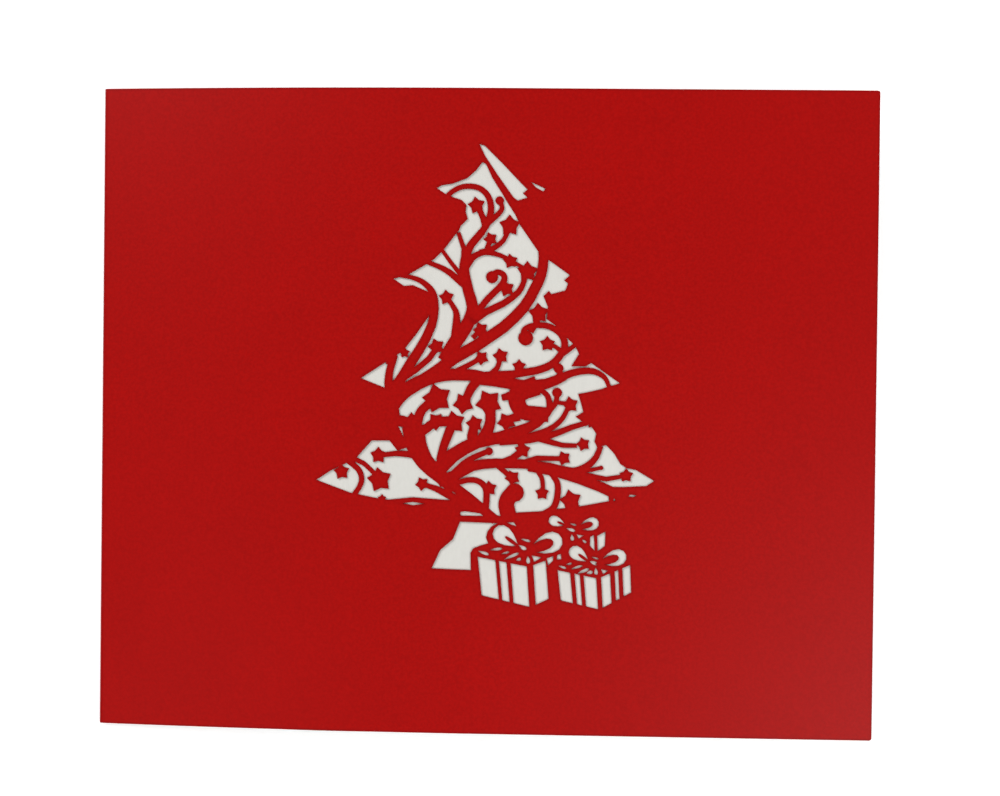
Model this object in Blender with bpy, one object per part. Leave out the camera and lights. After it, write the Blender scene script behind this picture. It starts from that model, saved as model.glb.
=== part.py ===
"""Pop up greeting card, closed and lying on its back cover.

Metres, +Z up. The origin is under the middle of the card, +X runs from the fold to the open
edge and +Y runs from the tail of the picture to its head. Every piece is a flat sheet of card
that is cut first and bent into place afterwards, as the real ones are.
"""
import math

import bmesh
import bpy
import numpy as np
from mathutils import Matrix, Vector
from mathutils.geometry import delaunay_2d_cdt

# Cover, a sheet of red card folded once
COVER_WIDTH = 0.1815
COVER_HEIGHT = 0.150
COVER_THICKNESS = 0.00035
COVER_CORNER_RADIUS = 0.0006
FOLD_RADIUS = 0.0007
FOLD_STRIPS = 8

# The front stands a little open: it climbs from the fold and then levels out
FRONT_CLIMB = math.radians(8.0)
FRONT_LEVEL = math.radians(1.0)
FRONT_CURVE_LENGTH = 0.094
FRONT_CURVE_STRIPS = 10

# Liner, a sheet of white paper glued inside the cover
LINER_THICKNESS = 0.0002
GLUE_LINE = 0.00015
LINER_INSET = 0.0006
LINER_PEEK = 0.0008
LINER_PEEK_FROM_FOLD = 0.022
LINER_PEEK_LENGTH = 0.064
LINER_PEEK_STEPS = 12

# Picture cut through the front
TREE_FOOT_FROM_FOLD = 0.0915
TREE_FOOT_ABOVE_TAIL = 0.0531
TREE_HEIGHT = 0.084
PICTURE_TURN = math.radians(0.6)
CURVE_STRIP_TURN = math.radians(7)
STAR_POINTS = 5
STAR_WAIST_SHARE = 0.62
STAR_POINT_SHARE = 0.96
ROUND_STEPS = 12
DROP_STEPS = 14
DROP_WIDEST_SHARE = 0.77
BOW_FOLD_START_SHARE = -0.15

# Pop up tree, slotted ribs that lie flat while the card is shut
RIB_THICKNESS = 0.0002
RIB_SPACING = 0.024
RIB_TREE_HEIGHT = 0.122
RIB_TREE_RADIUS = 0.043
RIB_FOOT_FROM_FOLD = 0.038
RIB_LEVEL_STEP = 0.0006
RIB_SLOT_WIDTH = 0.002
RIB_SLOT_PLAY = 0.0004
RIB_TEETH = 9
RIB_TOOTH_SHARE = 0.9
BASE_HEIGHT = 0.008
BASE_OVERHANG = 0.003
GLUE_TAB_WIDTH = 0.014
GLUE_TAB_LENGTH = 0.012
GLUE_TAB_RISE = 0.004
STACK_LEVELS = 3
LEVELS_APART = 2
TREE_PLACES = (-1, 0, 1)
GIFT_PLACES = (-2, 2)
LEVEL_CLEARANCE_SHARE = 0.45

# Gifts cut in the two low ribs
GIFT_HEIGHT = 0.021
GIFT_WIDTH = 0.018
GIFT_FROM_SLOT = 0.002
SMALL_GIFT_HEIGHT = 0.013
SMALL_GIFT_WIDTH = 0.0085
BOW_SPREAD_SHARE = 0.36
BOW_RISE_SHARE = 0.3
RIBBON_WIDTH_SHARE = 0.14
GIFT_RIM_SHARE = 0.15

MERGE_DISTANCE = 0.000001
OVERRUN = 0.004
PER_CENT = 0.01

# Places in the picture, in hundredths of the tree's height from the middle of its foot
TREE_OUTLINE_SHARES = (
    (-13.4, 87.8), (-12, 88.6), (-9, 89), (-5, 90.5), (-2.5, 92.7), (-0.8, 94.9), (0.2, 94.4),
    (2, 90.5), (5.2, 85.4), (5.8, 84.3), (8.3, 80.4), (9.6, 77.6), (14.6, 70.3), (17.7, 67.8),
    (20.5, 65.8), (23.4, 63.7), (21.8, 62.3), (22.9, 61.4), (22.1, 59.5), (18.3, 58.5),
    (17.6, 59.4), (16.1, 58), (17.3, 55), (17, 51.6), (19.4, 49.9), (22.6, 46.4), (24.1, 45),
    (25.2, 43.6), (25.9, 42), (23.8, 38.6), (27.8, 38.6), (29.3, 39.5), (32.7, 37.1),
    (37.2, 33.9), (34.2, 33.1), (32, 32.3), (28, 31.4), (25.7, 31), (26.6, 28), (27.1, 26),
    (25, 24.7), (26.8, 23.4), (27.8, 22), (28.9, 22.7), (30.7, 20), (30.2, 17.8), (31, 16.2),
    (33.4, 16.9), (35.6, 14.6), (37.4, 11.6), (39.1, 10.5), (41.5, 10.1), (46.7, 7), (44.5, 5.6),
    (38, 5.3), (34, 5.4), (34.2, 1.4), (26.5, 0), (20, -0.8), (15, -1.5), (9, -1.8), (5, -3),
    (3, -2.5), (-0.7, 0.6), (-6, 1.3), (-12, 1.7), (-20, 2.3), (-27, 1.6), (-30, 2),
    (-37.5, 3.5), (-47, 7), (-43, 9.6), (-39, 11.5), (-35.5, 13.5), (-31.5, 18), (-26.5, 18),
    (-24.3, 15.2), (-21.2, 16.2), (-24.2, 22.2), (-23.7, 25.3), (-24.5, 31.5), (-28.3, 32.8),
    (-34.5, 35.3), (-30.3, 38), (-26.8, 40.2), (-22.9, 42.7), (-19.3, 47.2), (-15.6, 52.4),
    (-14.4, 54.5), (-15.2, 59), (-20, 61), (-22.5, 60.8), (-25.4, 62.8), (-23.8, 63.2),
    (-20.8, 64.2), (-16.8, 66.5), (-14, 68.3), (-12.5, 69.8), (-11.3, 71), (-8.3, 74.9),
    (-7.3, 76), (-6.8, 77.3), (-4.8, 79.3), (-5.4, 81.2), (-5.2, 83.2), (-6.5, 84.5), (-9, 85.3),
    (-11, 86.2))
TREE_BLADE_SHARES = (
    (-1.6, 99.9), (-0.2, 99.5), (5, 94.3), (9.8, 89.2), (11.7, 87.3), (10.4, 86.3), (11.7, 85.1),
    (9, 84.3), (7.8, 85.2), (3.5, 91.3), (0, 96.6))
TREE_SPARK_SHARES = ((12.7, 89.4), (16.7, 87.5), (16, 86.8), (14, 87.9))
TREE_SLIVER_SHARES = ((-23, 0.6), (-20, 0.1), (-16.6, 0.5), (-20, 1))
TRUNK_OUTLINE_SHARES = (
    (-6.9, -4.4), (3.6, -4.8), (1.8, -5.7), (0.7, -7.1), (0.3, -8.8), (0.9, -10.4), (-1, -10.9),
    (-3.3, -11.8), (-4, -13), (-3.9, -17.8), (-14.8, -17.4), (-12.4, -12.3), (-8.9, -9.3))
TRUNK_BAND_SHARES = ((-6.8, -1.7), (-5.4, -1.5), (0.3, -2.3), (0.1, -2.8), (-6.8, -2.7))
TRUNK_CORNER_SHARES = ((6, -4.6), (8, -4.5), (8.7, -5.6), (7.4, -5.2))

# Stems: width at the root, width at the tip, and the points that each one passes through
STEM_SHARES = (
    (2.6, 2.6, ((3, -4), (-4.5, 2.3), (-9.5, 6))),
    (3.6, 6.2, ((-8.3, 4.6), (-12.4, 8.2), (-16.5, 12), (-19.2, 17.2), (-20, 22))),
    (3.4, 3.0, ((-19, 18), (-21, 22.6), (-27, 24))),
    (4.4, 3.0, ((-26.5, 27), (-24.3, 29.9), (-21.7, 32.1), (-18.5, 34), (-14, 35.7), (-9, 36.3),
                (-3, 36.1), (3, 34.8))),
    (3.4, 2.6, ((-2, 35.2), (3, 34.6), (10, 33.3), (17, 33.8), (22, 36))),
    (2.2, 1.1, ((20, 34.8), (22.5, 36.2), (26, 37.2), (30, 37.2), (33, 35.5), (34.2, 33))),
    (3.4, 2.7, ((-21, 32.3), (-13.6, 37.1), (-8.6, 40.8), (-1.9, 44.6), (5, 49.3), (10.8, 55),
                (13.7, 60), (15.4, 63.6), (16.1, 68), (16, 73))),
    (4.0, 2.0, ((-11.3, 40), (-8.4, 45), (-6.4, 47.8), (-4.5, 51), (-3.5, 55), (-4.7, 59.5),
                (-5.7, 64), (-5.6, 68), (-3.8, 72.3), (-0.8, 75.8))),
    (1.9, 1.3, ((-3, 73.3), (-0.8, 75.8), (1, 79), (1.6, 82.5), (0.6, 85.8), (-2, 87.9),
                (-6, 88.2), (-9.3, 86.7), (-11.5, 84.5))),
    (3.0, 1.1, ((-27, 30), (-23, 35.5), (-20.3, 40), (-18.3, 43), (-16.4, 46.3), (-14.8, 50),
                (-14, 54.5), (-14.6, 59), (-17.5, 62), (-21, 63.3), (-25, 64))),
    (2.4, 2.0, ((-26.5, 30), (-26.8, 34), (-26.4, 37.6), (-25.2, 41.5))),
    (1.7, 1.6, ((-25, 33.6), (-19.2, 37.6), (-15.6, 40.6), (-13.4, 43.6))),
    (2.4, 1.2, ((-9.5, 42), (-8.3, 47), (-7.9, 51), (-8.2, 54), (-10.4, 57.4))),
    (1.3, 1.0, ((-6.5, 63.5), (-9.5, 67.3), (-12.5, 71.5))),
    (1.6, 1.1, ((-6, 66), (-5.9, 71), (-7.4, 75.5))),
    (1.9, 1.2, ((-6, 61.2), (-9.8, 64.5), (-13.2, 66.3), (-16.8, 67.7))),
    (1.6, 1.2, ((-1.5, 70), (2, 71), (5, 73.3), (6.6, 76.5))),
    (1.4, 1.3, ((0.5, 71), (1.5, 73.7))),
    (1.5, 1.2, ((0.3, 77.6), (3, 80), (4.6, 82), (4.2, 84.2))),
    (1.8, 1.5, ((0.2, 76.6), (-0.6, 79.5), (-1.9, 82.5))),
    (2.0, 1.0, ((-6, 64.5), (-3.8, 68.3), (-0.3, 70), (4.2, 69.2), (7.5, 67.5), (12, 65))),
    (2.0, 1.4, ((-4, 50.5), (0, 53.5), (5, 55.9), (9.1, 59), (10.7, 62), (11.6, 65))),
    (1.8, 1.4, ((-3.5, 52), (0.7, 57.2), (3.6, 60), (5.2, 62.2), (5, 63.9), (3.2, 64.6),
                (1.7, 63.3))),
    (2.2, 1.4, ((0, 36), (8, 36.4), (14, 37.4), (18.2, 39), (20.9, 41.8), (22, 44.6),
                (20.8, 47.6), (17.6, 49.6), (13.7, 49.9), (10.9, 48.8), (10.5, 46.7))),
    (1.4, 1.2, ((19.5, 40.6), (22.8, 42.9), (26, 45.4))),
    (1.3, 1.1, ((21.2, 42.6), (19.6, 43.9), (17.5, 44.8))),
    (1.6, 1.4, ((18.5, 34.5), (20.7, 36.3), (20.3, 38))),
    (1.6, 1.4, ((12.6, 48), (14.4, 51), (15, 53))),
    (1.6, 1.3, ((1, 36), (3.4, 38.2), (4.2, 41))),
    (1.6, 1.3, ((-9.5, 36.5), (-5, 38.7), (-1.3, 40.7))),
    (1.6, 1.4, ((8.5, 36.5), (9.5, 38.7))),
    (1.4, 1.2, ((-3.5, 46.4), (-1.3, 48.6))),
    (1.4, 2.0, ((15, 32.3), (16.9, 30.9), (17.7, 29), (17.6, 26.5), (15.5, 24.3))),
    (4.0, 5.4, ((17.6, 25.2), (14.3, 25.5), (10.6, 26), (8.9, 28.6), (9.6, 31.4), (14.5, 33.3))),
    (2.6, 1.7, ((8.5, 31.2), (6.3, 30.3), (4.6, 29.9))),
    (4.2, 1.9, ((-14, 9), (-9, 13.9), (-2, 17.7), (4, 18.9), (10, 20.9), (14.3, 22.9),
                (17.2, 25.8), (18.8, 28.2))),
    (1.8, 1.3, ((2, 17.8), (8, 18.4), (12, 19.2), (15.6, 20.3), (18.9, 21.9), (21.5, 24.4),
                (22.8, 27))),
    (1.5, 1.4, ((18.4, 27), (19.6, 28.7), (19.9, 31))),
    (1.1, 1.1, ((19.4, 28.6), (22.2, 28.4))),
    (2.2, 1.4, ((4, 17.8), (12, 18.3), (17, 19.2), (20.5, 20.4), (24, 21.8), (28, 23))),
    (1.9, 1.2, ((8, 18.6), (14.3, 18.8), (18, 17.7), (21.5, 16.8), (25.4, 16.7))),
    (1.8, 1.5, ((-9.8, 8), (-6, 11.6), (-3, 13.5), (0.8, 15.1))),
    (1.6, 1.4, ((9.4, 18.4), (10.4, 15.4))),
    (2.0, 1.3, ((0, 11.6), (6, 11.8), (11, 12.1), (14.3, 13.2), (21.5, 13.1))),
    (1.6, 2.0, ((3.8, 11.8), (7.4, 13.1), (9.5, 14.6))),
    (3.0, 1.5, ((-13, 6.5), (-8, 8.6), (-3.5, 11), (3, 11.8), (11, 11.6), (18, 10.7), (24, 9.5),
                (28.1, 11), (30.7, 13.6), (31.9, 16.6))),
    (2.4, 3.0, ((12, 10.8), (19, 9.6), (26, 7.5), (32, 5.3), (37, 3))),
    (1.8, 1.1, ((24, 9), (29, 8.3), (33.5, 7.5), (39, 8.4))),
    (1.1, 1.0, ((26, 9.6), (29.5, 10), (32, 10.6))),
    (1.6, 1.9, ((17.4, 10.2), (19.9, 6.7), (20, 2.8), (18.9, -0.5), (16.2, -2.3))),
    (1.3, 1.2, ((13.6, 10.8), (15.6, 8), (16, 5.2), (15.8, 3.5))),
    (1.5, 1.4, ((3.2, 11.4), (5.4, 9.5), (7.3, 7.8))),
    (1.5, 1.8, ((-10, 5.8), (-5, 7.1), (-1.8, 6.8), (0.2, 4.8), (0.4, 1.5), (0.1, -1.5))),
    (4.4, 4.4, ((6.8, -3.6), (5.9, 0), (6.6, 2.4), (8.4, 4))),
    (2.6, 1.2, ((-3, -0.1), (-9.5, 2.7), (-13.5, 4.7), (-17.3, 6))),
    (2.4, 1.3, ((-14, 10.5), (-19, 13.8), (-25, 14.4), (-29.5, 13.9))),
    (1.4, 1.2, ((-38, 13.4), (-33.6, 11.6), (-30, 8))),
    (1.6, 1.4, ((-39, 13), (-35.2, 10), (-34.4, 6.3), (-37, 2))),
    (2.8, 2.4, ((-19.5, 18.5), (-19, 22), (-18.4, 24.6), (-17.3, 26.7), (-15, 28.8))),
    (2.0, 2.6, ((-12.6, 12.5), (-11.4, 16.6), (-9.6, 21.3))),
    (2.4, 2.8, ((-19, 19.4), (-16.4, 21.2), (-14, 23), (-10, 23.4))),
    (3.2, 2.8, ((-1, 18), (0.7, 20.8), (1.5, 23.5), (1.5, 27))),
    (2.8, 2.2, ((-1.8, 35.2), (-4, 32.3), (-5.3, 29.5))),
    (2.6, 2.0, ((9.5, 24.8), (6, 23.8))),
    (3.4, 2.4, ((-3.2, 16), (-3.5, 19.5), (-3, 22.4))))

# Stars: centre, radius and turn in degrees
STAR_SHARES = (
    (-2.4, 83, 2.6, 10), (6.8, 77.4, 3.2, 0), (1.5, 73.7, 2.1, 20), (7, 67.6, 2.2, 8),
    (11.7, 64.7, 3.1, 0), (5.9, 60, 2.4, 14), (-10.7, 57.6, 2.3, 6), (-13.5, 44, 2.5, 18),
    (-26.2, 40.8, 2.2, 0), (14.8, 53.2, 3.1, 5), (17.2, 44.8, 2.3, 0), (4.3, 41.4, 2.4, 12),
    (-1, 40.9, 2.2, 30), (9.4, 38.6, 2.1, 0), (-1.2, 48.7, 2.3, 22), (-22.3, 42.3, 1.6, 0),
    (-13.3, 29.7, 4.4, 15), (-6, 28.3, 3.2, 28), (1, 28.5, 4, 28), (-13.6, 23.3, 2.7, 36),
    (-8.7, 23, 3.5, 10), (-2.9, 22.7, 2.6, 12), (5.9, 23.3, 2.8, 30), (-20.4, 23.2, 2.8, 0),
    (23.5, 28, 2.5, 10), (29.6, 23, 1.7, 0), (27.1, 17.1, 2.1, 16), (10.4, 15.4, 2.4, 0),
    (21.7, 13.2, 2.2, 20), (39, 8.5, 2.1, 0), (15.8, 3.6, 2.1, 0), (7.6, 7.8, 2.3, 24),
    (1.2, 4.8, 2.3, 6), (23.7, 1.5, 3.3, 12), (-29.6, 13.9, 2.5, 0), (-29.3, 7.1, 3.7, 10),
    (-17.4, 6, 2.1, 26), (-39.9, 9.3, 2.4, 6), (-28.6, 1.9, 1.3, 0))

# Round ends of scrolls: centre and radius
BULB_SHARES = (
    (1.9, 63.2, 1.7), (11.2, 46.4, 2.1), (4, 84.3, 1.2), (19.9, 31.3, 1.4), (1.1, 15.1, 1.1),
    (8.2, 3.7, 2.6), (20.3, 38, 1.4), (32.1, 10.6, 0.6))

# Gifts: corners of the front from top left round to top right, then the far corners of the side
GIFT_SHARES = (
    ((-2, -14.1), (-0.9, -24.8), (12.7, -28), (12, -16.8), (17.6, -25.7), (16.8, -15.1)),
    ((20.1, -17.7), (21, -26.1), (31.7, -28.6), (31.2, -20), (40.4, -23.8), (40.1, -16.2)))
FRONT_BAND_SHARES = (
    ((0, 0.35), (0.42, 0.57), (0.65, 0.97)), ((0, 0.31), (0.42, 0.55), (0.65, 0.96)))
SIDE_BAND_SHARES = (((0.28, 1),), ((0.1, 0.38), (0.52, 0.63), (0.76, 1)))

# Small white panels of the gift at the back, of the ribbons beside the boxes and beside the tree
PANEL_SHARES = (
    ((35.4, 1.5), (35.6, 2), (36.1, 1.9), (35.9, 1.4)),
    ((39.6, 2.6), (40, 3.2), (41.8, 3.1), (41.2, 2.6)),
    ((29.1, -8.5), (30.1, -7.9), (30.3, -12.3), (29, -10.9)),
    ((31, -8.2), (33.3, -7), (33.1, -11), (31.2, -12.4)),
    ((25.4, -7.8), (27.3, -8.1), (25.9, -9)),
    ((13, -13.7), (15.7, -14.2), (13.6, -15.5)),
    ((17.1, -14.5), (18.9, -13.8), (18.8, -15.1), (17.5, -16.4)),
    ((20, -13.5), (21, -13.2), (21.1, -14.7), (19.9, -14.8)),
    ((32.1, -17.4), (34, -17.8), (32.7, -18.8)))

# Bow loops: root, tip, width, and how far the red fold inside reaches and how wide it is
LOOP_SHARES = (
    (9.2, -11.1, 2.6, -6.3, 5.1, 0.55, 0.2), (12.2, -12.3, 21.3, -8.9, 5.8, 0.74, 0.54),
    (28.6, -15.2, 23.5, -11.7, 3.8, 0.55, 0.22), (31.6, -15.7, 39, -13.4, 4.6, 0.73, 0.5),
    (22.2, -5.2, 17.7, -3.5, 2.9, 0.5, 0.22), (25.8, -6, 31.4, -4.3, 3.6, 0.72, 0.48))

# Small glints of the knots and lids: root, tip and width
GLINT_SHARES = (
    (8.7, -10.8, 11.5, -12, 1.1), (9.8, -9.1, 12.6, -9.8, 0.7), (-1.9, -12.5, 1.1, -13.5, 0.9),
    (1.3, -12.2, 4.8, -11.8, 0.8), (4.3, -13.4, 6.8, -12.7, 0.6), (5.2, -14.9, 9.4, -13, 0.9),
    (8.6, -15.1, 10, -14.5, 0.9), (11.9, -13.8, 12, -16, 1.1), (22.5, -6.1, 24.9, -6.9, 0.9),
    (23.4, -4.8, 25.3, -5.3, 0.5), (24, -7.8, 24.2, -9.6, 1), (26.9, -9.3, 28, -10.1, 0.7),
    (28.8, -15.2, 31.2, -16.1, 1), (29.4, -14, 31.4, -14.6, 0.5), (20.3, -16.5, 22.5, -17.2, 0.7),
    (22.4, -16.2, 24.1, -15.8, 0.6), (23.6, -17.5, 27, -16.4, 0.7), (25.4, -18.7, 28.8, -17.3, 0.9),
    (28, -18.6, 29.8, -18.1, 1), (30.6, -17, 30.8, -19, 1), (17, -17.2, 17.4, -16.9, 0.3))


class Section:
    """Bent line of a sheet seen from the end, made of short straight strips."""

    def __init__(self, points):
        self.points = [Vector(point) for point in points]
        runs = [b - a for a, b in zip(self.points, self.points[1:])]
        self.lengths = [0.0]
        for run in runs:
            self.lengths.append(self.lengths[-1] + run.length)
        outward = [Vector((-run.y, run.x)).normalized() for run in runs]
        before, after = outward[:1] + outward, outward + outward[-1:]
        self.mitres = [(a + b) / (1 + a.dot(b)) for a, b in zip(before, after)]

    def beside(self, distance):
        """Return the line that runs parallel to this one, at a distance outwards."""
        return Section([p + m * distance for p, m in zip(self.points, self.mitres)])

    def at(self, length, distance):
        """Return the place at a length along the line and a distance outwards from it."""
        index = int(np.searchsorted(self.lengths, length, side="right")) - 1
        index = min(max(index, 0), len(self.points) - 2)
        start, end = self.lengths[index], self.lengths[index + 1]
        ends = [self.points[i] + self.mitres[i] * distance for i in (index, index + 1)]
        return ends[0].lerp(ends[1], (length - start) / (end - start))


def walk(start, heading, runs):
    """List the points of a line that takes each run's length, turn and number of strips."""
    points = [Vector(start)]
    for length, turn, strips in runs:
        for strip in range(strips):
            angle = heading + turn * (strip + 0.5) / strips
            step = Vector((math.cos(angle), math.sin(angle))) * (length / strips)
            points.append(points[-1] + step)
        heading += turn
    return points


def cover_section():
    """Return the middle line of the folded cover, from the back's open edge to the front's."""
    fold_depth = FOLD_RADIUS + COVER_THICKNESS / 2
    panel = COVER_WIDTH - fold_depth
    fold_turn = FRONT_CLIMB - math.pi
    return Section(walk((COVER_WIDTH / 2, COVER_THICKNESS / 2), math.pi, (
        (panel, 0, 1),
        (FOLD_RADIUS * -fold_turn, fold_turn, FOLD_STRIPS),
        (FRONT_CURVE_LENGTH, FRONT_LEVEL - FRONT_CLIMB, FRONT_CURVE_STRIPS),
        (panel - FRONT_CURVE_LENGTH, 0, 1))))


COVER_LINE = cover_section()
LINER_LINE = COVER_LINE.beside(-(COVER_THICKNESS + LINER_THICKNESS) / 2 - GLUE_LINE)
FIRST_FRONT_POINT = 1 + FOLD_STRIPS
TAIL = (LINER_PEEK - LINER_INSET - COVER_HEIGHT) / 2
HEAD = TAIL + COVER_HEIGHT


class FlatSheet:
    """Paper cut flat: its pieces, openings cut through them, and strips left in the openings."""

    def __init__(self, pieces, openings=(), strips=(), creases=()):
        self.pieces, self.openings, self.strips, self.creases = pieces, openings, strips, creases

    def cut(self):
        """Return the corners and the triangles of the paper that is left."""
        corners, sides = [], []
        for outline in (*self.pieces, *self.openings, *self.strips):
            first = len(corners)
            corners += [Vector(point) for point in outline]
            sides += [(first + i, first + (i + 1) % len(outline)) for i in range(len(outline))]
        corners, faces = self.split(corners, sides)
        rim = rim_sides(faces)
        kept = sorted({corner for side in rim for corner in side})
        number = {corner: index for index, corner in enumerate(kept)}
        return self.split([Vector(corners[corner]) for corner in kept],
                          [(number[a], number[b]) for a, b in rim])

    def split(self, corners, sides):
        """Split the paper into triangles along the sides and the creases."""
        for crease in self.creases:
            sides.append((len(corners), len(corners) + 1))
            corners += [Vector(point) for point in crease]
        result = delaunay_2d_cdt(corners, sides, [], 0, MERGE_DISTANCE)
        corners, faces = np.array([tuple(c) for c in result[0]]), np.array(result[2])
        centres = corners[faces].mean(axis=1)
        open_part = covered(self.openings, centres) & ~covered(self.strips, centres)
        return corners, faces[covered(self.pieces, centres) & ~open_part]


def covered(outlines, points):
    """Say which points lie inside at least one of the outlines."""
    x, y = points.T
    found = np.zeros(len(points), bool)
    for outline in outlines:
        turns = np.zeros(len(points), int)
        for (x0, y0), (x1, y1) in zip(outline, outline[1:] + outline[:1]):
            side = (x1 - x0) * (y - y0) - (x - x0) * (y1 - y0)
            turns += (y0 <= y) & (y1 > y) & (side > 0)
            turns -= (y1 <= y) & (y0 > y) & (side < 0)
        found |= turns != 0
    return found


def rim_sides(faces):
    """List the sides that belong to one triangle only, where the paper ends."""
    sides = {side for a, b, c in faces.tolist() for side in ((a, b), (b, c), (c, a))}
    return [(a, b) for a, b in sorted(sides) if (b, a) not in sides]


def make_sheet(name, sheet, place, material):
    """Give a flat sheet its thickness and bend it, with place(x, y, side) for each corner."""
    corners, faces = sheet.cut()
    used = sorted(set(faces.ravel()))
    mesh = bmesh.new()
    layers = []
    for side in (-1, 1):
        layers.append({i: mesh.verts.new(place(*corners[i], side)) for i in used})
    for a, b, c in faces:
        mesh.faces.new([layers[1][i] for i in (a, b, c)])
        mesh.faces.new([layers[0][i] for i in (c, b, a)])
    for a, b in rim_sides(faces):
        mesh.faces.new((layers[0][a], layers[0][b], layers[1][b], layers[1][a]))
    bmesh.ops.recalc_face_normals(mesh, faces=mesh.faces[:])
    data = bpy.data.meshes.new(name)
    mesh.to_mesh(data)
    mesh.free()
    data.materials.append(material)
    node = bpy.data.objects.new(name, data)
    bpy.context.scene.collection.objects.link(node)


def smooth_line(points):
    """Return a smooth line through the points, with more strips where it bends more."""
    points = [Vector(point) for point in points]
    ends = [points[0] * 2 - points[1], *points, points[-1] * 2 - points[-2]]
    line = []
    for before, start, end, after in zip(ends, ends[1:], ends[2:], ends[3:]):
        steps = max(round((end - before).angle(after - start) / CURVE_STRIP_TURN), 1)
        for t in np.arange(steps) / steps:
            line.append((start * 2 + (end - before) * t
                         + (before * 2 - start * 5 + end * 4 - after) * t ** 2
                         + (start * 3 - before - end * 3 + after) * t ** 3) / 2)
    return line + [points[-1]]


def stem(root_width, tip_width, points):
    """Return the outline of a stem that narrows from its root to its tip."""
    line = smooth_line(points)
    left, right = [], []
    last = len(line) - 1
    for index, point in enumerate(line):
        along = (line[min(index + 1, last)] - line[max(index - 1, 0)]).normalized()
        half = (root_width + (tip_width - root_width) * index / last) / 2
        sideways = Vector((-along.y, along.x)) * half
        left.append(tuple(point + sideways))
        right.append(tuple(point - sideways))
    return left + right[::-1]


def round_outline(x, y, radius):
    """Return a circle's outline."""
    angles = [2 * math.pi * step / ROUND_STEPS for step in range(ROUND_STEPS)]
    return [(x + radius * math.cos(a), y + radius * math.sin(a)) for a in angles]


def star(x, y, radius, turn):
    """Return a star's outline, its first point straight up before the turn."""
    outline = []
    for index in range(2 * STAR_POINTS):
        reach = radius * (STAR_WAIST_SHARE if index % 2 else STAR_POINT_SHARE)
        angle = math.radians(turn) + math.pi / 2 + math.pi * index / STAR_POINTS
        outline.append((x + reach * math.cos(angle), y + reach * math.sin(angle)))
    return outline


def drop(root_x, root_y, tip_x, tip_y, width):
    """Return a drop's outline, pointed at its root and round at its tip."""
    root, along = Vector((root_x, root_y)), Vector((tip_x - root_x, tip_y - root_y))
    across = Vector((-along.y, along.x)).normalized() * (width / 2)
    outline = []
    for step in range(DROP_STEPS):
        angle = 2 * math.pi * step / DROP_STEPS
        reach = along * ((1 - math.cos(angle)) / 2)
        spread = math.sin(angle) * math.sin(angle / 2) / DROP_WIDEST_SHARE
        outline.append(tuple(root + reach + across * spread))
    return outline


def band(corners, near, far):
    """Return the part of a four cornered face between two shares of its width."""
    top_near, low_near, low_far, top_far = [Vector(corner) for corner in corners]
    return [tuple(point) for point in (
        top_near.lerp(top_far, near), low_near.lerp(low_far, near),
        low_near.lerp(low_far, far), top_near.lerp(top_far, far))]


def gift_openings():
    """List the white panels of the gifts, their bow loops and the glints on their lids."""
    openings = []
    for corners, front_bands, side_bands in zip(GIFT_SHARES, FRONT_BAND_SHARES, SIDE_BAND_SHARES):
        top_left, low_left, low_middle, top_middle, low_right, top_right = corners
        front = (top_left, low_left, low_middle, top_middle)
        side = (top_middle, low_middle, low_right, top_right)
        openings += [band(front, *shares) for shares in front_bands]
        openings += [band(side, *shares) for shares in side_bands]
    openings += [list(panel) for panel in PANEL_SHARES]
    openings += [drop(*loop) for *loop, _, _ in LOOP_SHARES]
    return openings + [drop(*glint) for glint in GLINT_SHARES]


def bow_folds():
    """List the red folds that stand inside the bow loops, joined to the knot."""
    folds = []
    for root_x, root_y, tip_x, tip_y, width, reach_share, width_share in LOOP_SHARES:
        root, tip = Vector((root_x, root_y)), Vector((tip_x, tip_y))
        start = root.lerp(tip, BOW_FOLD_START_SHARE)
        folds.append(drop(*start, *root.lerp(tip, reach_share), width * width_share))
    return folds


def on_front(outline):
    """Put an outline of the picture where it lies on the flat front of the cover."""
    scale = TREE_HEIGHT * PER_CENT
    fold_depth = FOLD_RADIUS + COVER_THICKNESS / 2
    foot_x = COVER_LINE.lengths[FIRST_FRONT_POINT] + TREE_FOOT_FROM_FOLD - fold_depth
    foot = Vector((foot_x, TAIL + TREE_FOOT_ABOVE_TAIL))
    turn = Matrix.Rotation(PICTURE_TURN, 2)
    return [tuple(foot + turn @ Vector(point) * scale) for point in outline]


def rounded_rectangle(left, low, right, high, radius):
    """Return a rectangle's outline with rounded corners."""
    outline = []
    quarter = ROUND_STEPS // 2
    for index, (x, y) in enumerate(((right, high), (left, high), (left, low), (right, low))):
        centre_x = x - math.copysign(radius, x - (left + right) / 2)
        centre_y = y - math.copysign(radius, y - (low + high) / 2)
        for step in range(quarter + 1):
            angle = math.pi / 2 * (index + step / quarter)
            outline.append((centre_x + radius * math.cos(angle),
                            centre_y + radius * math.sin(angle)))
    return outline


def cross_creases(places):
    """Return a crease across the card at each of the places along it."""
    return [((x, TAIL - OVERRUN), (x, HEAD + OVERRUN)) for x in places]


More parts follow.
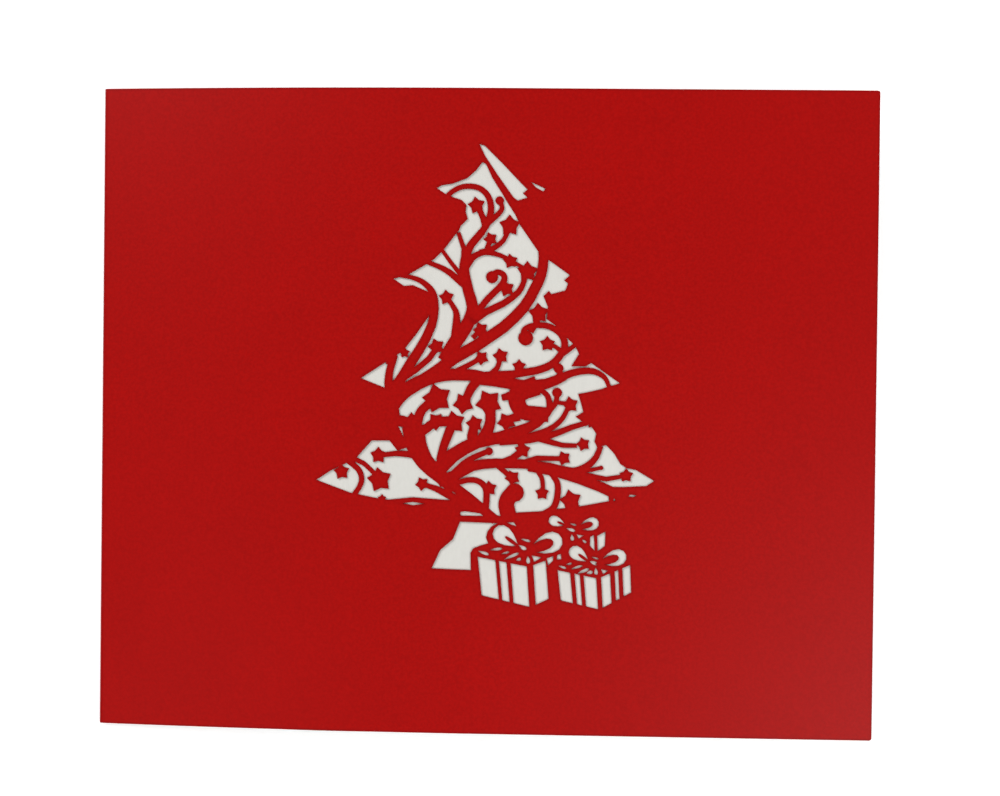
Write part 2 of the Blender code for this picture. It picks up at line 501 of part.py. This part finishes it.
def make_cover(material):
    """Fold the cover, with the picture cut through its front."""
    openings = [list(outline) for outline in (
        TREE_OUTLINE_SHARES, TREE_BLADE_SHARES, TREE_SPARK_SHARES, TREE_SLIVER_SHARES,
        TRUNK_OUTLINE_SHARES, TRUNK_BAND_SHARES, TRUNK_CORNER_SHARES)] + gift_openings()
    strips = [stem(*row) for row in STEM_SHARES] + [star(*row) for row in STAR_SHARES]
    strips += [round_outline(*row) for row in BULB_SHARES] + bow_folds()
    sheet = FlatSheet(
        [rounded_rectangle(0, TAIL, COVER_LINE.lengths[-1], HEAD, COVER_CORNER_RADIUS)],
        [on_front(outline) for outline in openings], [on_front(outline) for outline in strips],
        cross_creases(COVER_LINE.lengths[1:-1]))
    half = COVER_THICKNESS / 2

    def place(length, y, side):
        x, z = COVER_LINE.at(length, side * half)
        return x, y, z

    make_sheet("cover", sheet, place, material)


def make_liner(material):
    """Fold the liner, whose front half peeks out under the cover's tail."""
    first, last = LINER_INSET, LINER_LINE.lengths[-1] - LINER_INSET
    low, high = TAIL + LINER_INSET, HEAD - LINER_INSET
    peek_start = LINER_LINE.lengths[FIRST_FRONT_POINT] + LINER_PEEK_FROM_FOLD
    bow = []
    for step in range(LINER_PEEK_STEPS + 1):
        share = step / LINER_PEEK_STEPS
        bow.append((peek_start + LINER_PEEK_LENGTH * share,
                    low - LINER_PEEK * math.sin(math.pi * share)))
    edge = [(first, high), (first, low), *bow, (last, low), (last, high)]
    sheet = FlatSheet([edge], creases=cross_creases(LINER_LINE.lengths[1:-1]))
    half = LINER_THICKNESS / 2

    def place(length, y, side):
        x, z = LINER_LINE.at(length, side * half)
        return x, y, z

    make_sheet("liner", sheet, place, material)


class Hollow:
    """Space between the two halves of the liner, which the ribs share out in levels."""

    def __init__(self):
        inner = LINER_LINE.beside(-LINER_THICKNESS / 2).points
        self.floor = inner[0].y
        self.x = [point.x for point in inner[FIRST_FRONT_POINT:]]
        self.roof = [point.y for point in inner[FIRST_FRONT_POINT:]]

    def top(self, x):
        """Return the height of the liner's front half over a place."""
        return float(np.interp(x, self.x, self.roof))

    def height(self, x, level):
        """Return the height of a level of the stack of ribs, counted from the middle one."""
        room = (self.top(x) - self.floor) / 2
        step = min(RIB_LEVEL_STEP, room / (STACK_LEVELS + LEVEL_CLEARANCE_SHARE))
        return self.floor + room + level * step

    def glued(self, x, level):
        """Return the height of a tab that is glued to the half of the liner on its level's side."""
        depth = GLUE_LINE + RIB_THICKNESS / 2
        return self.top(x) - depth if level > 0 else self.floor + depth


HOLLOW = Hollow()
FOLD_X = COVER_LINE.points[FIRST_FRONT_POINT].x
RIB_FOOT_X = FOLD_X + RIB_FOOT_FROM_FOLD


def meeting(level_rib, stepped_rib):
    """Return where two ribs cross, each counted from the middle one of its set."""
    return (level_rib + stepped_rib) * RIB_SPACING


def tree_height(rib, distance):
    """Return the tree's height over a point of a rib, as on a cone."""
    return RIB_TREE_HEIGHT * (1 - math.hypot(rib * RIB_SPACING, distance) / RIB_TREE_RADIUS)


def slot_height(level_rib, stepped_rib):
    """Return the height at which the slots of two crossing ribs meet."""
    if stepped_rib in GIFT_PLACES:
        return BASE_HEIGHT / 2
    return tree_height(level_rib, stepped_rib * RIB_SPACING) / 2


def crossings():
    """List the pairs of ribs that cross: level rib, then stepped rib."""
    pairs = [(rib, other) for rib in TREE_PLACES for other in TREE_PLACES + GIFT_PLACES]
    return [pair for pair in pairs if abs(sum(pair)) <= max(GIFT_PLACES)]


def bough_outline(rib):
    """Return the toothed outline of a tree rib, as distances from its middle and heights."""
    half = math.sqrt(RIB_TREE_RADIUS ** 2 - (rib * RIB_SPACING) ** 2)
    outline = [(-half, 0)]
    for tooth in range(-RIB_TEETH, RIB_TEETH + 1):
        distance = half * tooth / (RIB_TEETH + 1)
        height = max(tree_height(rib, distance), BASE_HEIGHT)
        outline.append((distance, height * (RIB_TOOTH_SHARE if tooth % 2 else 1)))
    return outline + [(half, 0)]


def box_outline(near, low, far, high):
    """Return a rectangle's outline, as distances and heights."""
    return [(near, low), (far, low), (far, high), (near, high)]


def laid(outline, middle):
    """Lay an outline of distances and heights down in the card, its foot towards the fold."""
    return [(RIB_FOOT_X + height, middle + distance) for distance, height in outline]


def slot(y, low, high):
    """Return the outline of a slot at a place along the fold, between two heights."""
    return laid(box_outline(-RIB_SLOT_WIDTH / 2, low, RIB_SLOT_WIDTH / 2, high), y)


def long_creases(places):
    """Return a crease along the card at each of the places across it."""
    near, far = FOLD_X, FOLD_X + COVER_WIDTH
    return [((near, y), (far, y)) for y in places]


def make_level_rib(name, rib, material):
    """Make a tree rib that stays level, slotted from above."""
    middle = rib * RIB_SPACING
    pieces, openings = [bough_outline(rib)], []
    for level_rib, other in crossings():
        if level_rib != rib:
            continue
        low = slot_height(rib, other) - RIB_SLOT_PLAY / 2
        openings.append(slot(meeting(rib, other), low, RIB_TREE_HEIGHT + OVERRUN))
        if other in GIFT_PLACES:
            reach = other * RIB_SPACING
            end = reach + math.copysign(BASE_OVERHANG, reach)
            pieces.append(box_outline(0, 0, end, BASE_HEIGHT))
    if rib:
        pieces.append(box_outline(-middle - GLUE_TAB_WIDTH / 2, -GLUE_TAB_LENGTH,
                                  -middle + GLUE_TAB_WIDTH / 2, BASE_HEIGHT))
    level = -LEVELS_APART * rib
    creases = cross_creases([*HOLLOW.x[1:-1], RIB_FOOT_X, RIB_FOOT_X - GLUE_TAB_RISE])
    sheet = FlatSheet([laid(piece, middle) for piece in pieces], openings, creases=creases)

    def place(x, y, side):
        height = HOLLOW.height(x, level)
        bent = min(max((RIB_FOOT_X - x) / GLUE_TAB_RISE, 0), 1)
        height += (HOLLOW.glued(x, level) - height) * bent
        return x, y, height + side * RIB_THICKNESS / 2

    make_sheet(name, sheet, place, material)


def gift_outlines(near, width, height):
    """Return a gift's outline, its two bow loops, and the windows beside its ribbon."""
    far, middle = near + width, near + width / 2
    spread, rise = width * BOW_SPREAD_SHARE, height * BOW_RISE_SHARE
    pieces = [box_outline(near, 0, far, height)]
    for side in (-1, 1):
        pieces.append(drop(middle, height - rise / 2, middle + side * spread, height + rise,
                           rise))
    rim, ribbon = width * GIFT_RIM_SHARE, width * RIBBON_WIDTH_SHARE / 2
    low, high = BASE_HEIGHT, height - rim
    windows = [box_outline(near + rim, low, middle - ribbon, high),
               box_outline(middle + ribbon, low, far - rim, high)]
    return pieces, windows


def stepped_rib(name, rib, pieces, windows, material):
    """Make a rib that steps down through the level ribs, slotted from below."""
    middle = rib * RIB_SPACING
    openings = [laid(window, middle) for window in windows]
    for level_rib, other in crossings():
        if other == rib:
            high = slot_height(level_rib, rib) + RIB_SLOT_PLAY / 2
            openings.append(slot(meeting(level_rib, rib), -OVERRUN, high))
    steps = [meeting(level_rib, rib) for level_rib in TREE_PLACES]
    edges = [step + side * RIB_SLOT_WIDTH / 2 for step in steps for side in (-1, 1)]
    creases = cross_creases(HOLLOW.x[1:-1]) + long_creases(edges)
    sheet = FlatSheet([laid(piece, middle) for piece in pieces], openings, creases=creases)

    def place(x, y, side):
        level = STACK_LEVELS
        for step in steps:
            level -= LEVELS_APART * min(max((y - step) / RIB_SLOT_WIDTH + 1 / 2, 0), 1)
        return x, y, HOLLOW.height(x, level) + side * RIB_THICKNESS / 2

    make_sheet(name, sheet, place, material)


def make_gift_rib(name, rib, material):
    """Make a low rib with a large gift on its inner side and a small one on its outer side."""
    side = math.copysign(1, rib)
    inner = -(RIB_SPACING + BASE_OVERHANG)
    outer = GIFT_FROM_SLOT + SMALL_GIFT_WIDTH
    pieces = [box_outline(inner, 0, outer, BASE_HEIGHT)]
    windows = []
    for near, width, height in (
            (-GIFT_FROM_SLOT - GIFT_WIDTH, GIFT_WIDTH, GIFT_HEIGHT),
            (GIFT_FROM_SLOT, SMALL_GIFT_WIDTH, SMALL_GIFT_HEIGHT)):
        gift, cut = gift_outlines(near, width, height)
        pieces += gift
        windows += cut
    turned = [[(side * distance, height) for distance, height in piece] for piece in pieces]
    cuts = [[(side * distance, height) for distance, height in cut] for cut in windows]
    stepped_rib(name, rib, turned, cuts, material)


def card_material(name, colour, roughness):
    """Make a plain card material."""
    material = bpy.data.materials.new(name)
    material.use_nodes = True
    shader = material.node_tree.nodes["Principled BSDF"]
    shader.inputs["Base Color"].default_value = (*colour, 1)
    shader.inputs["Roughness"].default_value = roughness
    return material


def main():
    """Build the whole card."""
    for old in list(bpy.data.objects):
        bpy.data.objects.remove(old)
    red = card_material("red_card", (0.40, 0.008, 0.007), 0.7)
    white = card_material("white_paper", (0.72, 0.71, 0.66), 0.8)
    green = card_material("green_card", (0.02, 0.13, 0.05), 0.75)
    gift_red = card_material("gift_card", (0.40, 0.008, 0.007), 0.7)
    make_cover(red)
    make_liner(white)
    for number, rib in enumerate(TREE_PLACES, start=1):
        make_level_rib("tree_rib_a" + str(number), rib, green)
        stepped_rib("tree_rib_b" + str(number), rib, [bough_outline(rib)], [], green)
    make_gift_rib("gift_rib_left", GIFT_PLACES[0], gift_red)
    make_gift_rib("gift_rib_right", GIFT_PLACES[1], gift_red)


main()
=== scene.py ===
"""Dress the closed pop up card for its picture.

The card lies on its back cover, a little open at the edge away from the fold. Every sheet of
card and paper is a merged copy of its solid and keeps its shape. This script gives each sheet
smooth folds, a paper finish and a finish of its own on the cut edges, and sets the card on a
pale floor under soft light.
"""

import logging
import math
from dataclasses import dataclass
from enum import Enum

import bpy
import numpy as np
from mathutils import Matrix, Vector


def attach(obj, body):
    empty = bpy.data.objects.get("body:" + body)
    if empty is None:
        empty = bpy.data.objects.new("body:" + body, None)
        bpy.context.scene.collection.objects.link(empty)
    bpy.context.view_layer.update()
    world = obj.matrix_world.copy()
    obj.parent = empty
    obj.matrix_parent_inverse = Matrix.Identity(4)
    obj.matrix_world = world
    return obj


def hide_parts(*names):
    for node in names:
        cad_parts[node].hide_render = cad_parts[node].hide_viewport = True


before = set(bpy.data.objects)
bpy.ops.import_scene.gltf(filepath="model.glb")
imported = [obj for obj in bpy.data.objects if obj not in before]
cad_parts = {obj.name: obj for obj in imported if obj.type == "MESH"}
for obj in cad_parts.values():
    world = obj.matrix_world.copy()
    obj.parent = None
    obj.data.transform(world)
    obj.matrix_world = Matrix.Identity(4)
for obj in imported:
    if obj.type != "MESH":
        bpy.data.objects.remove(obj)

LOG = logging.getLogger("pop_up_card")

# Corners closer than this, in metres, are one corner of a solid's loose triangles.
JOIN_DISTANCE = 0.0000005
# A face counts as flat where the upright share of its normal is above this.
FLAT_SHARE = 0.9
# Corners closer than this to a sheet's head edge lie on it.
HEAD_DISTANCE = 0.000005
# Faces above this level belong to the bowed front, those below it to the back.
FRONT_LEVEL = 0.001
# The front bows up by less than this, and its cut edges are all steeper.
STEEPEST_BOW = math.radians(12)

# The part of a noise pattern that flecks are spread from, and the one for clouds and fibres.
FLECK_SPAN = (0.35, 0.65)
MIDDLE_SPAN = (0.3, 0.7)
# How far the fibres take the roughness up and down, and how strongly they stand out.
FIBRE_ROUGHNESS = 0.06
FIBRE_STRENGTH = 0.5
# A painted shade rim starts where the rounded normal keeps the first share of the flat one, and
# is full where it keeps the second.
RIM_SHADE_SPAN = (0.998, 0.985)
RIM_SHADE_SAMPLES = 6

Colour = tuple[float, float, float]
Place = tuple[float, float, float]
Span = tuple[float, float]


class Weave(Enum):
    """How the fibres of a sheet lie: across the fold, along it, or every way."""

    ACROSS = (0.35, 1.0, 1.0)
    ALONG = (1.0, 0.35, 1.0)
    EVEN = (1.0, 1.0, 1.0)


@dataclass(frozen=True)
class Grain:
    """One noise pattern of the pulp.

    Attributes:
        scale: Waves of the pattern in each metre.
        detail: Number of finer patterns laid over it.
        roughness: Strength of the finer patterns.
    """

    scale: float
    detail: float
    roughness: float

    def lay(self, material: bpy.types.Material, place: bpy.types.Node) -> bpy.types.NodeSocket:
        """Add the pattern to a material.

        Args:
            material: The material to add it to.
            place: The node that gives the pattern its place.

        Returns:
            The pattern's height.
        """
        noise = material.node_tree.nodes.new("ShaderNodeTexNoise")
        noise.inputs["Scale"].default_value = self.scale
        noise.inputs["Detail"].default_value = self.detail
        noise.inputs["Roughness"].default_value = self.roughness
        material.node_tree.links.new(place.outputs["Vector"], noise.inputs["Vector"])
        return noise.outputs["Fac"]


FLECKS = Grain(scale=1500.0, detail=3.0, roughness=0.6)
CLOUDS = Grain(scale=55.0, detail=2.0, roughness=0.5)
FIBRES = Grain(scale=3200.0, detail=4.0, roughness=0.65)


@dataclass(frozen=True)
class PaperFinish:
    """Finish of one paper or card stock.

    Attributes:
        name: Name of the finish.
        slot: Slot of the record that the finish belongs to. Not used.
        colour: Main colour of the stock.
        fleck: Colour of the darker flecks in the pulp.
        fleck_share: How far the flecks take the colour from the main one.
        cloud_share: How far the pulp's broad clouds lighten and darken it.
        roughness: Middle roughness of the surface.
        gloss: Strength of the mirror reflection on the shader's own socket.
        fibre_height: Height of the fibres in metres.
        weave: Direction of the fibres.
        rim_shade: Colour of the painted shade beside the cuts, where a rounded normal turns away.
        rim_shade_width: Width of that painted shade in metres, or 0 for none.
    """

    name: str
    slot: str
    colour: Colour
    fleck: Colour
    fleck_share: float
    cloud_share: float
    roughness: float
    gloss: float
    fibre_height: float
    weave: Weave
    rim_shade: Colour = (0.0, 0.0, 0.0)
    rim_shade_width: float = 0.0

    def material(self) -> bpy.types.Material:
        """Build the finish as a procedural material.

        Returns:
            The material, with flecks, clouds and raised fibres from its nodes.
        """
        material = bpy.data.materials.new(self.name)
        material.use_nodes = True
        nodes, links = material.node_tree.nodes, material.node_tree.links
        shader = nodes["Principled BSDF"]
        shader.inputs["Specular IOR Level"].default_value = self.gloss
        place = nodes.new("ShaderNodeTexCoord")
        turned = nodes.new("ShaderNodeMapping")
        turned.inputs["Scale"].default_value = self.weave.value
        links.new(place.outputs["Object"], turned.inputs["Vector"])

        flecks = FLECKS.lay(material, turned)
        clouds = CLOUDS.lay(material, turned)
        fibres = FIBRES.lay(material, turned)

        pulp = self._spread(material, flecks, FLECK_SPAN, (0.0, self.fleck_share))
        stock = nodes.new("ShaderNodeMix")
        stock.data_type = "RGBA"
        stock.inputs["A"].default_value = (*self.colour, 1)
        stock.inputs["B"].default_value = (*self.fleck, 1)
        links.new(pulp, stock.inputs["Factor"])

        tone = self._spread(material, clouds, MIDDLE_SPAN,
                            (1 - self.cloud_share, 1 + self.cloud_share))
        toned = nodes.new("ShaderNodeVectorMath")
        toned.operation = "SCALE"
        links.new(stock.outputs["Result"], toned.inputs["Vector"])
        links.new(tone, toned.inputs["Scale"])
        colour = toned.outputs["Vector"]
        # Painted shade: the stock is darkened beside its cuts, where a rounded normal turns away.
        if self.rim_shade_width:
            colour = self._paint_rim_shade(material, colour)
        links.new(colour, shader.inputs["Base Color"])

        rough = self._spread(material, fibres, MIDDLE_SPAN,
                             (self.roughness - FIBRE_ROUGHNESS, self.roughness + FIBRE_ROUGHNESS))
        links.new(rough, shader.inputs["Roughness"])
        raised = nodes.new("ShaderNodeBump")
        raised.inputs["Strength"].default_value = FIBRE_STRENGTH
        raised.inputs["Distance"].default_value = self.fibre_height
        links.new(fibres, raised.inputs["Height"])
        links.new(raised.outputs["Normal"], shader.inputs["Normal"])
        return material

    def _paint_rim_shade(self, material: bpy.types.Material,
                     stock: bpy.types.NodeSocket) -> bpy.types.NodeSocket:
        """Paint shade on the stock beside its cuts, darker where a normal rounded over the edge
        turns away.

        Args:
            material: The material to add the rims to.
            stock: The stock's own colour.

        Returns:
            The colour with its painted shade rims.
        """
        nodes, links = material.node_tree.nodes, material.node_tree.links
        rounded = nodes.new("ShaderNodeBevel")
        rounded.samples = RIM_SHADE_SAMPLES
        rounded.inputs["Radius"].default_value = self.rim_shade_width
        flat = nodes.new("ShaderNodeNewGeometry")
        parting = nodes.new("ShaderNodeVectorMath")
        parting.operation = "DOT_PRODUCT"
        links.new(rounded.outputs["Normal"], parting.inputs[0])
        links.new(flat.outputs["Normal"], parting.inputs[1])
        rim_shade_mix = nodes.new("ShaderNodeMix")
        rim_shade_mix.data_type = "RGBA"
        rim_shade_mix.inputs["B"].default_value = (*self.rim_shade, 1)
        rim_shade_depth = self._spread(material, parting.outputs["Value"], RIM_SHADE_SPAN, (0.0, 1.0))
        links.new(rim_shade_depth, rim_shade_mix.inputs["Factor"])
        links.new(stock, rim_shade_mix.inputs["A"])
        return rim_shade_mix.outputs["Result"]

    @staticmethod
    def _spread(material: bpy.types.Material, value: bpy.types.NodeSocket, start: Span,
                end: Span) -> bpy.types.NodeSocket:
        """Spread a value from one range over another.

        Args:
            material: The material to add the range to.
            value: The value to spread.
            start: The two ends of its range.
            end: What those two ends become.

        Returns:
            The value in its new range.
        """
        spread = material.node_tree.nodes.new("ShaderNodeMapRange")
        for name, number in zip(("From Min", "From Max", "To Min", "To Max"), (*start, *end)):
            spread.inputs[name].default_value = number
        material.node_tree.links.new(value, spread.inputs["Value"])
        return spread.outputs["Result"]


# The red card's rim colour and width paint shade on its face beside the cuts.
RED_CARD = PaperFinish(
    "red_card", "red_card", colour=(0.358, 0.0015, 0.0008), fleck=(0.304, 0.0009, 0.0005),
    fleck_share=1.0, cloud_share=0.02, roughness=0.36, gloss=0.08, fibre_height=0.000005,
    weave=Weave.EVEN, rim_shade=(0.255, 0.0002, 0.0002), rim_shade_width=0.0010)
RED_CUT_EDGE = PaperFinish(
    "red_card_cut_edge", "red_card", colour=(0.24, 0.0022, 0.0016),
    fleck=(0.16, 0.0015, 0.0012), fleck_share=0.9, cloud_share=0.02, roughness=0.80, gloss=0.05,
    fibre_height=0.000012, weave=Weave.EVEN)
WHITE_PAPER = PaperFinish(
    "white_paper", "white_paper", colour=(0.614, 0.606, 0.568), fleck=(0.587, 0.579, 0.542),
    fleck_share=0.8, cloud_share=0.01, roughness=0.75, gloss=0.10, fibre_height=0.000008,
    weave=Weave.ALONG)
WHITE_CUT_EDGE = PaperFinish(
    "white_paper_cut_edge", "white_paper", colour=(0.60, 0.59, 0.54), fleck=(0.52, 0.51, 0.46),
    fleck_share=0.8, cloud_share=0.01, roughness=0.85, gloss=0.10, fibre_height=0.000008,
    weave=Weave.EVEN)
GREEN_CARD = PaperFinish(
    "green_card", "green_card", colour=(0.020, 0.130, 0.050), fleck=(0.012, 0.100, 0.038),
    fleck_share=0.8, cloud_share=0.03, roughness=0.70, gloss=0.15, fibre_height=0.000010,
    weave=Weave.ACROSS)
GREEN_CUT_EDGE = PaperFinish(
    "green_card_cut_edge", "green_card", colour=(0.014, 0.075, 0.030),
    fleck=(0.010, 0.050, 0.020), fleck_share=0.8, cloud_share=0.03, roughness=0.80, gloss=0.10,
    fibre_height=0.000010, weave=Weave.EVEN)
GIFT_CARD = PaperFinish(
    "gift_card", "gift_card", colour=(0.400, 0.0080, 0.0070), fleck=(0.360, 0.0050, 0.0045),
    fleck_share=0.8, cloud_share=0.03, roughness=0.68, gloss=0.12, fibre_height=0.000010,
    weave=Weave.ACROSS)
GIFT_CUT_EDGE = PaperFinish(
    "gift_card_cut_edge", "gift_card", colour=(0.25, 0.0030, 0.0028),
    fleck=(0.17, 0.0020, 0.0020), fleck_share=0.9, cloud_share=0.02, roughness=0.80, gloss=0.05,
    fibre_height=0.000010, weave=Weave.EVEN)
FINISHES = (RED_CARD, RED_CUT_EDGE, WHITE_PAPER, WHITE_CUT_EDGE, GREEN_CARD, GREEN_CUT_EDGE,
            GIFT_CARD, GIFT_CUT_EDGE)


@dataclass
class CutSheet:
    """One sheet of the card, with smooth folds and its own finish on the cut edges.

    Attributes:
        node: Name of the solid whose shape the sheet keeps.
        face: Finish of the sheet's two faces.
        edge: Finish of its cut edges.
        bowed: Whether the sheet's front half bows up from the fold.
        fold_angle: Sharpest bend that still counts as part of a face.
        smooth_angle: Sharpest bend that is shaded as a curve.
    """

    node: str
    face: PaperFinish
    edge: PaperFinish
    bowed: bool = False
    fold_angle: float = math.radians(45)
    smooth_angle: float = math.radians(28)

    def build(self, materials: dict[str, bpy.types.Material]) -> None:
        """Make the sheet and put it in its solid's place.

        Args:
            materials: The finished materials by name.
        """
        sheet = self._copy()
        sheet.data.materials.append(materials[self.face.name])
        sheet.data.materials.append(materials[self.edge.name])
        self._dress_edges(sheet)
        bpy.ops.object.shade_smooth_by_angle(angle=self.smooth_angle)
        if self.bowed:
            self._even_bend(sheet.data)
        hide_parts(self.node)
        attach(sheet, "root")
        LOG.info("%s: %d faces", sheet.name, len(sheet.data.polygons))

    def _copy(self) -> bpy.types.Object:
        """Copy the solid's mesh and join its loose triangles.

        Returns:
            The copy, selected and active.
        """
        bpy.ops.object.select_all(action="DESELECT")
        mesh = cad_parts[self.node].data.copy()
        mesh.materials.clear()
        sheet = bpy.data.objects.new(self.node + "_sheet", mesh)
        bpy.context.scene.collection.objects.link(sheet)
        bpy.context.view_layer.objects.active = sheet
        sheet.select_set(True)
        bpy.ops.object.mode_set(mode="EDIT")
        bpy.ops.mesh.select_all(action="SELECT")
        bpy.ops.mesh.remove_doubles(threshold=JOIN_DISTANCE)
        bpy.ops.object.mode_set(mode="OBJECT")
        return sheet

    def _dress_edges(self, sheet: bpy.types.Object) -> None:
        """Give the cut edges their finish.

        They are what a walk from the largest face of either side, over soft bends, doesn't reach.

        Args:
            sheet: The sheet, active and in object mode.
        """
        bpy.ops.object.mode_set(mode="EDIT")
        bpy.ops.mesh.select_mode(type="FACE")
        bpy.ops.mesh.select_all(action="DESELECT")
        bpy.ops.object.mode_set(mode="OBJECT")
        for side in (1, -1):
            facing = [face for face in sheet.data.polygons
                      if face.normal.z * side > FLAT_SHARE]
            max(facing, key=lambda face: face.area).select = True
        bpy.ops.object.mode_set(mode="EDIT")
        bpy.ops.mesh.faces_select_linked_flat(sharpness=self.fold_angle)
        bpy.ops.mesh.select_all(action="INVERT")
        sheet.active_material_index = 1
        bpy.ops.object.material_slot_assign()
        bpy.ops.object.mode_set(mode="OBJECT")

    @staticmethod
    def _even_bend(mesh: bpy.types.Mesh) -> None:
        """Shade the bowed half by its slope across the fold alone.

        The slope is read off the sheet's straight head edge, so the thin triangles beside the
        cuts leave no streaks.

        Args:
            mesh: The sheet's mesh.
        """
        corners = mesh.vertices
        head = max(corner.co.y for corner in corners) - HEAD_DISTANCE
        normals = [(0.0, 0.0, 0.0)] * len(mesh.loops)
        for side in (1, -1):
            faces = [face for face in mesh.polygons if face.center.z > FRONT_LEVEL
                     and face.normal.z * side > math.cos(STEEPEST_BOW)]
            line = sorted({(round(corners[i].co.x, 6), round(corners[i].co.z, 6))
                           for face in faces for i in face.vertices if corners[i].co.y > head})
            slopes = [math.atan2(b[1] - a[1], b[0] - a[0]) for a, b in zip(line, line[1:])]
            bends = [(a + b) / 2 for a, b in zip(slopes[:1] + slopes, slopes + slopes[-1:])]
            for face in faces:
                for loop in face.loop_indices:
                    x = corners[mesh.loops[loop].vertex_index].co.x
                    slope = float(np.interp(x, [place for place, _ in line], bends))
                    normals[loop] = (-side * math.sin(slope), 0.0, side * math.cos(slope))
        mesh.normals_split_custom_set(normals)


@dataclass
class Cover:
    """Folded red cover with the picture cut through its front."""

    node: str = "cover"

    def build(self, materials: dict[str, bpy.types.Material]) -> None:
        """Make the cover.

        Args:
            materials: The finished materials by name.
        """
        CutSheet(self.node, RED_CARD, RED_CUT_EDGE, bowed=True).build(materials)


@dataclass
class Liner:
    """Folded white liner that shows through the cover's cuts."""

    node: str = "liner"

    def build(self, materials: dict[str, bpy.types.Material]) -> None:
        """Make the liner.

        Args:
            materials: The finished materials by name.
        """
        CutSheet(self.node, WHITE_PAPER, WHITE_CUT_EDGE, bowed=True).build(materials)


@dataclass
class PopUpTree:
    """Slotted ribs of the tree and of the gifts beside it, folded flat inside the card."""

    tree_ribs: tuple[str, ...] = (
        "tree_rib_a1", "tree_rib_a2", "tree_rib_a3", "tree_rib_b1", "tree_rib_b2", "tree_rib_b3")
    gift_ribs: tuple[str, ...] = ("gift_rib_left", "gift_rib_right")

    def build(self, materials: dict[str, bpy.types.Material]) -> None:
        """Make the ribs.

        Args:
            materials: The finished materials by name.
        """
        for node in self.tree_ribs:
            CutSheet(node, GREEN_CARD, GREEN_CUT_EDGE).build(materials)
        for node in self.gift_ribs:
            CutSheet(node, GIFT_CARD, GIFT_CUT_EDGE).build(materials)


@dataclass(frozen=True)
class SoftBox:
    """Square lamp that faces the middle of the card.

    Attributes:
        name: Name of the lamp.
        power: Power in watts.
        width: Width in metres.
        place: Where it hangs.
    """

    name: str
    power: float
    width: float
    place: Place

    def hang(self) -> None:
        """Add the lamp to the scene."""
        bpy.ops.object.light_add(type="AREA", location=self.place)
        lamp = bpy.context.view_layer.objects.active
        lamp.name = self.name
        lamp.data.energy = self.power
        lamp.data.size = self.width
        lamp.rotation_mode = "QUATERNION"
        lamp.rotation_quaternion = (-Vector(self.place)).to_track_quat("-Z", "Y")


SOFT_BOXES = (
    SoftBox("head_left_box", power=12.2, width=0.7, place=(-0.7, 0.75, 1.0)),
    SoftBox("head_right_box", power=2.9, width=0.7, place=(0.6, 0.55, 1.15)),
    SoftBox("tail_left_box", power=2.5, width=0.7, place=(-0.6, -0.55, 1.15)),
    SoftBox("tail_right_box", power=2.35, width=0.3, place=(0.28, -0.27, 0.65)))


@dataclass
class Studio:
    """Pale light table, a dim even sky and soft boxes all round, so that hardly a shadow falls.

    Attributes:
        floor_width: Width of the floor in metres.
        floor_level: Its level, a hair below the card, so that the two don't share a plane.
        floor_colour: Its colour.
        floor_roughness: Its roughness.
        floor_gloss: Strength of its mirror reflection.
        table_glow: How strongly it glows.
        sky_strength: Strength of the even sky.
        boxes: The lamps.
    """

    floor_width: float = 6.0
    floor_level: float = -0.00002
    floor_colour: Colour = (0.97, 0.97, 0.97)
    floor_roughness: float = 0.9
    floor_gloss: float = 0.1
    table_glow: float = 0.3
    sky_strength: float = 0.25
    boxes: tuple[SoftBox, ...] = SOFT_BOXES

    def build(self) -> None:
        """Lay the floor and hang the lights."""
        bpy.ops.object.select_all(action="DESELECT")
        bpy.ops.mesh.primitive_plane_add(size=self.floor_width, location=(0, 0, self.floor_level))
        floor = bpy.context.view_layer.objects.active
        floor.name = "floor"
        floor.data.materials.append(self._floor_material())
        world = bpy.data.worlds.new("soft_sky")
        world.use_nodes = True
        sky = world.node_tree.nodes["Background"]
        sky.inputs["Color"].default_value = (1, 1, 1, 1)
        sky.inputs["Strength"].default_value = self.sky_strength
        bpy.context.scene.world = world
        for box in self.boxes:
            box.hang()
        bpy.context.scene.view_settings.view_transform = "Standard"
        LOG.info("studio: floor and %d lamps", len(self.boxes))

    def _floor_material(self) -> bpy.types.Material:
        """Build the floor's plain pale material.

        Returns:
            The material.
        """
        material = bpy.data.materials.new("pale_floor")
        material.use_nodes = True
        shader = material.node_tree.nodes["Principled BSDF"]
        shader.inputs["Base Color"].default_value = (*self.floor_colour, 1)
        shader.inputs["Emission Color"].default_value = (1, 1, 1, 1)
        shader.inputs["Emission Strength"].default_value = self.table_glow
        shader.inputs["Roughness"].default_value = self.floor_roughness
        shader.inputs["Specular IOR Level"].default_value = self.floor_gloss
        return material


@dataclass
class PictureCamera:
    """Camera over the card, as in the picture.

    Attributes:
        place: Where it stands.
        turn: Its turns about the three axes in radians, from looking straight down.
        lens: Focal length in millimetres.
        sensor_width: Width of the picture behind the lens in millimetres.
        nearest: Nearest distance that it sees in metres.
    """

    place: Place = (0.0096, 0.0089, 0.4516)
    turn: Place = (-0.0125, 0.0139, 0.0115)
    lens: float = 68.68
    sensor_width: float = 36.0
    nearest: float = 0.01

    def build(self) -> None:
        """Add the camera and make it the scene's own."""
        bpy.ops.object.select_all(action="DESELECT")
        bpy.ops.object.camera_add(location=self.place, rotation=self.turn)
        camera = bpy.context.view_layer.objects.active
        camera.name = "picture_camera"
        camera.data.lens = self.lens
        camera.data.sensor_width = self.sensor_width
        camera.data.clip_start = self.nearest
        bpy.context.scene.camera = camera
        LOG.info("camera at %s", self.place)


def main() -> None:
    """Dress the card and set the scene."""
    logging.basicConfig(level=logging.INFO, format="%(message)s")
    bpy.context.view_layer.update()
    materials = {finish.name: finish.material() for finish in FINISHES}
    PictureCamera().build()
    for assembly in (Cover(), Liner(), PopUpTree()):
        assembly.build(materials)
    Studio().build()


if __name__ == "__main__":
    main()
